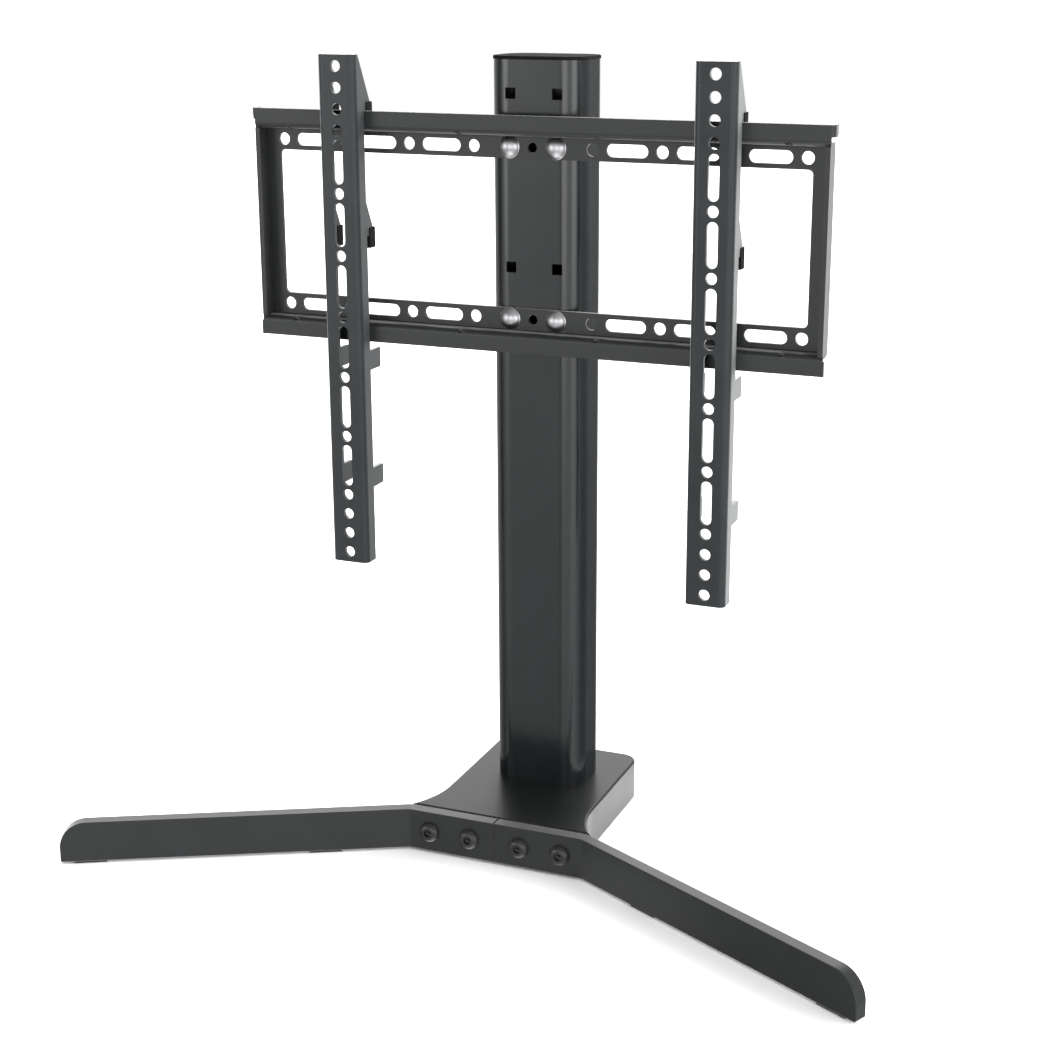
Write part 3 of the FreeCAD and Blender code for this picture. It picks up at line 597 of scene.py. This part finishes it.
class STAND_OT_moulded_pieces(bpy.types.Operator):
    """Give the cap, the hook sleeves and the pads their plastic and rubber"""

    bl_idname = "stand.moulded_pieces"
    bl_label = "Moulded pieces"

    def execute(self, context):
        plastics = context.scene.stand_plastics
        dress("black_plastic", finish(
            "black_moulded_plastic", plastics.cap_colour, lighter=1.3, roughness=0.75, unevenness=0.04,
            grain=0.0007, depth=0.00004, specular=0.03))
        dress("rubber", finish(
            "black_rubber", plastics.pad_colour, lighter=1.5, roughness=0.75, unevenness=0.06,
            grain=0.0009, depth=0.00006, specular=0.3))
        return {"FINISHED"}


class STAND_OT_carriage_bolts(bpy.types.Operator):
    """Model the four bright carriage bolts"""

    bl_idname = "stand.carriage_bolts"
    bl_label = "Carriage bolts"

    def execute(self, context):
        bolts = context.scene.stand_bolts
        chrome = finish(
            "bright_plate", bolts.chrome_colour, lighter=1.1, roughness=0.36, unevenness=0.03,
            grain=0.002, depth=0.000004, mottle=60.0, metallic=1.0)
        for row in ("upper", "lower"):
            node = row + "_carriage_bolts"
            low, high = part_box(node)
            radius = (high.z - low.z) / 2
            height = bolts.dome_height
            shank = bolts.shank_radius
            lip = height * DOME_LIP
            rings = shank_rings(shank, high.y - low.y - height)
            rings += thread_rings(shank, rings[-1][1], -PLAIN_SHANK)
            rings += [(shank, THREAD_RUNOUT - PLAIN_SHANK), (shank, 0.0)]
            rings += [(radius - lip, 0.0), (radius, lip * DOME_LIP_EDGE)]
            rings += dome_rings(radius, height, DOME_RINGS)[1:]
            bolt = turned(node + "_pattern", rings)
            sink = bolts.neck_width / 2 * NECK_SINK
            neck = prism("neck", bolts.neck_width, -bolts.neck_length, sink, 4, NECK_BEVEL)
            bpy.ops.object.mode_set(mode="EDIT")
            bpy.ops.mesh.select_all(action="SELECT")
            bpy.ops.transform.rotate(value=math.pi / 4, orient_axis="Z", center_override=(0.0, 0.0, 0.0))
            bpy.ops.object.mode_set(mode="OBJECT")
            bolt = combined(bolt, neck, "UNION")
            places = row_ends(low, high, low.y + height)
            placed(bolt, row + "_domed_bolts", places, HEAD_FORWARD, chrome, node)
        return {"FINISHED"}


class STAND_OT_leg_bolts(bpy.types.Operator):
    """Model the four black button head bolts of the legs"""

    bl_idname = "stand.leg_bolts"
    bl_label = "Leg bolts"

    def execute(self, context):
        bolts = context.scene.stand_bolts
        oxide = finish(
            "black_oxide", bolts.oxide_colour, lighter=1.3, roughness=0.3, unevenness=0.04,
            grain=0.0012, depth=0.00001, mottle=60.0, specular=0.4)
        height = bolts.button_height
        shank = bolts.button_shank_radius
        rim = height * BUTTON_RIM
        edge = rim * BUTTON_RIM_EDGE
        point = bolts.socket_width * POINT_RADIUS
        tip_rings = [(point, height * POINT_BASE)] + [
            (radius, height * POINT_SHOULDER + up)
            for radius, up in dome_rings(point, point * POINT_HEIGHT, POINT_RINGS)
        ]
        for side in ("left", "right"):
            node = side + "_leg_bolts"
            low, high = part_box(node)
            radius = (high.z - low.z) / 2
            rings = shank_rings(shank, high.y - low.y - height)
            rings += [(shank, 0.0), (radius - rim, 0.0), (radius, edge)]
            rings += shoulder_rings(radius, bolts.button_flat, edge, height)
            bolt = turned(node + "_pattern", rings)
            socket = prism(
                "socket", bolts.socket_width, height * SOCKET_FLOOR, height * SOCKET_MOUTH, 6, SOCKET_BEVEL)
            bolt = combined(bolt, socket, "DIFFERENCE")
            bolt = combined(bolt, turned("tip", tip_rings), "UNION")
            places = row_ends(low, high, low.y + height)
            placed(bolt, side + "_button_bolts", places, HEAD_FORWARD, oxide, node)
        return {"FINISHED"}


class STAND_OT_flange_nuts(bpy.types.Operator):
    """Model the four flange nuts and plate the pieces inside"""

    bl_idname = "stand.flange_nuts"
    bl_label = "Flange nuts"

    def execute(self, context):
        bolts = context.scene.stand_bolts
        zinc = finish(
            "zinc_plate", bolts.zinc_colour, lighter=1.15, roughness=0.3, unevenness=0.06,
            grain=0.0015, depth=0.00001, mottle=80.0, metallic=1.0)
        dress("zinc_screws", zinc)
        rim = bolts.nut_flange_height
        corner = bolts.nut_width / math.sqrt(3)
        bore_radius = bolts.shank_radius + BORE_CLEARANCE
        for row in ("upper", "lower"):
            node = row + "_flange_nuts"
            low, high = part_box(node)
            radius = (high.z - low.z) / 2
            height = high.y - low.y
            nut = turned(node + "_pattern", [
                (radius - NUT_BEVEL, 0.0), (radius, NUT_BEVEL), (radius, rim * FLANGE_EDGE),
                (corner, rim * FLANGE_TOP)])
            body = prism("body", bolts.nut_width, rim * NUT_BODY_START, height, 6, NUT_BEVEL)
            nut = combined(nut, body, "UNION")
            bore = turned("bore", [(bore_radius, -OVERRUN), (bore_radius, height + OVERRUN)])
            nut = combined(nut, bore, "DIFFERENCE")
            places = row_ends(low, high, low.y)
            placed(nut, row + "_nuts_with_flanges", places, FLANGE_FORWARD, zinc, node)
        return {"FINISHED"}


class STAND_OT_stage(bpy.types.Operator):
    """Set up the floor, the surroundings with their lamps and the camera"""

    bl_idname = "stand.stage"
    bl_label = "Stage"

    def execute(self, context):
        stage = context.scene.stand_stage
        bpy.ops.object.select_all(action="DESELECT")
        bpy.ops.mesh.primitive_plane_add(size=FLOOR_SIZE, location=(0.0, 0.0, 0.0))
        floor = context.object
        floor.name = "studio_floor"
        floor.data.materials.append(self.floor_material(stage))
        self.surroundings(context, stage)
        self.camera(context)
        context.scene.view_settings.view_transform = "Standard"
        return {"FINISHED"}

    def floor_material(self, stage):
        """Matt white, of which the gloss shows a patch beside the stand alone."""
        material = bpy.data.materials.new("floor_white")
        material.use_nodes = True
        tree = material.node_tree
        shader = tree.nodes["Principled BSDF"]
        shader.inputs["Base Color"].default_value = (1.0, 1.0, 1.0, 1.0)
        shader.inputs["Roughness"].default_value = 0.9
        shader.inputs["Specular IOR Level"].default_value = 0.0
        reach = tree.nodes.new("ShaderNodeVectorMath")
        reach.operation = "DISTANCE"
        reach.inputs[1].default_value = FLOOR_CENTRE
        tree.links.new(tree.nodes.new("ShaderNodeTexCoord").outputs["Object"], reach.inputs[0])
        radius = stage.floor_radius
        outside = ranged(tree, reach.outputs["Value"], radius, radius * FLOOR_RADIUS_FADE)
        path = tree.nodes.new("ShaderNodeLightPath")
        nearness = stage.floor_reach
        distant = ranged(tree, path.outputs["Ray Length"], nearness, nearness * FLOOR_REACH_FADE)
        either = math_node(tree, "MAXIMUM", outside, distant)
        gone = math_node(tree, "MULTIPLY", either, path.outputs["Is Glossy Ray"])
        mixed = tree.nodes.new("ShaderNodeMixShader")
        tree.links.new(gone, mixed.inputs["Fac"])
        tree.links.new(shader.outputs["BSDF"], mixed.inputs[1])
        tree.links.new(tree.nodes.new("ShaderNodeBsdfTransparent").outputs["BSDF"], mixed.inputs[2])
        tree.links.new(mixed.outputs["Shader"], tree.nodes["Material Output"].inputs["Surface"])
        return material

    def surroundings(self, context, stage):
        """White for the camera, soft light for matt surfaces and the studio for gloss."""
        world = bpy.data.worlds.new("studio")
        context.scene.world = world
        world.use_nodes = True
        tree = world.node_tree
        place = tree.nodes.new("ShaderNodeTexCoord").outputs["Generated"]
        walls = math_node(tree, "MULTIPLY", studio_walls(tree, place), stage.wall_light)
        gloss = with_lamps(tree, place, walls, STUDIO_LAMPS, stage.lamp_light)
        room = tree.nodes.new("ShaderNodeValue")
        room.outputs[0].default_value = stage.room_light
        matt = with_lamps(tree, place, room.outputs[0], MATT_LAMPS, stage.lamp_light)
        path = tree.nodes.new("ShaderNodeLightPath")
        plain = tree.nodes.new("ShaderNodeMix")
        tree.links.new(matt, plain.inputs["A"])
        tree.links.new(gloss, plain.inputs["B"])
        tree.links.new(path.outputs["Is Glossy Ray"], plain.inputs["Factor"])
        seen = tree.nodes.new("ShaderNodeMix")
        seen.inputs["B"].default_value = 1.0
        tree.links.new(plain.outputs["Result"], seen.inputs["A"])
        tree.links.new(path.outputs["Is Camera Ray"], seen.inputs["Factor"])
        background = tree.nodes["Background"]
        background.inputs["Color"].default_value = (1.0, 1.0, 1.0, 1.0)
        tree.links.new(seen.outputs["Result"], background.inputs["Strength"])

    def camera(self, context):
        """The camera at the photograph's place, angle and framing."""
        camera = bpy.data.cameras.new("camera")
        holder = bpy.data.objects.new("camera", camera)
        context.scene.collection.objects.link(holder)
        context.scene.camera = holder
        camera.sensor_width = SENSOR_WIDTH
        camera.lens = CAMERA_FOCAL / IMAGE_SIZE * SENSOR_WIDTH
        camera.shift_x = (IMAGE_SIZE / 2 - CAMERA_CENTRE[0]) / IMAGE_SIZE
        camera.shift_y = (CAMERA_CENTRE[1] - IMAGE_SIZE / 2) / IMAGE_SIZE
        camera.clip_start, camera.clip_end = CAMERA_CLIP
        holder.location = CAMERA_PLACE
        azimuth, elevation, roll = (math.radians(angle) for angle in CAMERA_ANGLES)
        turn = Matrix.Rotation(azimuth, 3, "Z") @ Matrix.Rotation(math.pi / 2 - elevation, 3, "X")
        holder.rotation_euler = (turn @ Matrix.Rotation(roll, 3, "Z")).to_euler()


class STAND_PT_panel(bpy.types.Panel):
    """Lists the steps that finish the stand"""

    bl_idname = "STAND_PT_panel"
    bl_label = "Television stand"
    bl_space_type = "VIEW_3D"
    bl_region_type = "UI"
    bl_category = "Stand"

    def draw(self, context):
        for operator in OPERATORS:
            self.layout.operator(operator.bl_idname)


OPERATORS = (
    STAND_OT_coated_metal, STAND_OT_moulded_pieces, STAND_OT_carriage_bolts, STAND_OT_leg_bolts,
    STAND_OT_flange_nuts, STAND_OT_stage,
)
CLASSES = (StandCoats, StandPlastics, StandBolts, StandStage, *OPERATORS, STAND_PT_panel)


def register():
    """Registers the classes and hangs the property groups on the scene."""
    for cls in CLASSES:
        bpy.utils.register_class(cls)
    bpy.types.Scene.stand_coats = bpy.props.PointerProperty(type=StandCoats)
    bpy.types.Scene.stand_plastics = bpy.props.PointerProperty(type=StandPlastics)
    bpy.types.Scene.stand_bolts = bpy.props.PointerProperty(type=StandBolts)
    bpy.types.Scene.stand_stage = bpy.props.PointerProperty(type=StandStage)


def unregister():
    """Takes the property groups and the classes away again."""
    del bpy.types.Scene.stand_stage
    del bpy.types.Scene.stand_bolts
    del bpy.types.Scene.stand_plastics
    del bpy.types.Scene.stand_coats
    for cls in reversed(CLASSES):
        bpy.utils.unregister_class(cls)


def main():
    """Finishes the stand: coats, moulded pieces, bolts, nuts and the stage."""
    register()
    bpy.ops.stand.coated_metal()
    bpy.ops.stand.moulded_pieces()
    bpy.ops.stand.carriage_bolts()
    bpy.ops.stand.leg_bolts()
    bpy.ops.stand.flange_nuts()
    bpy.ops.stand.stage()


if __name__ == "__main__":
    main()
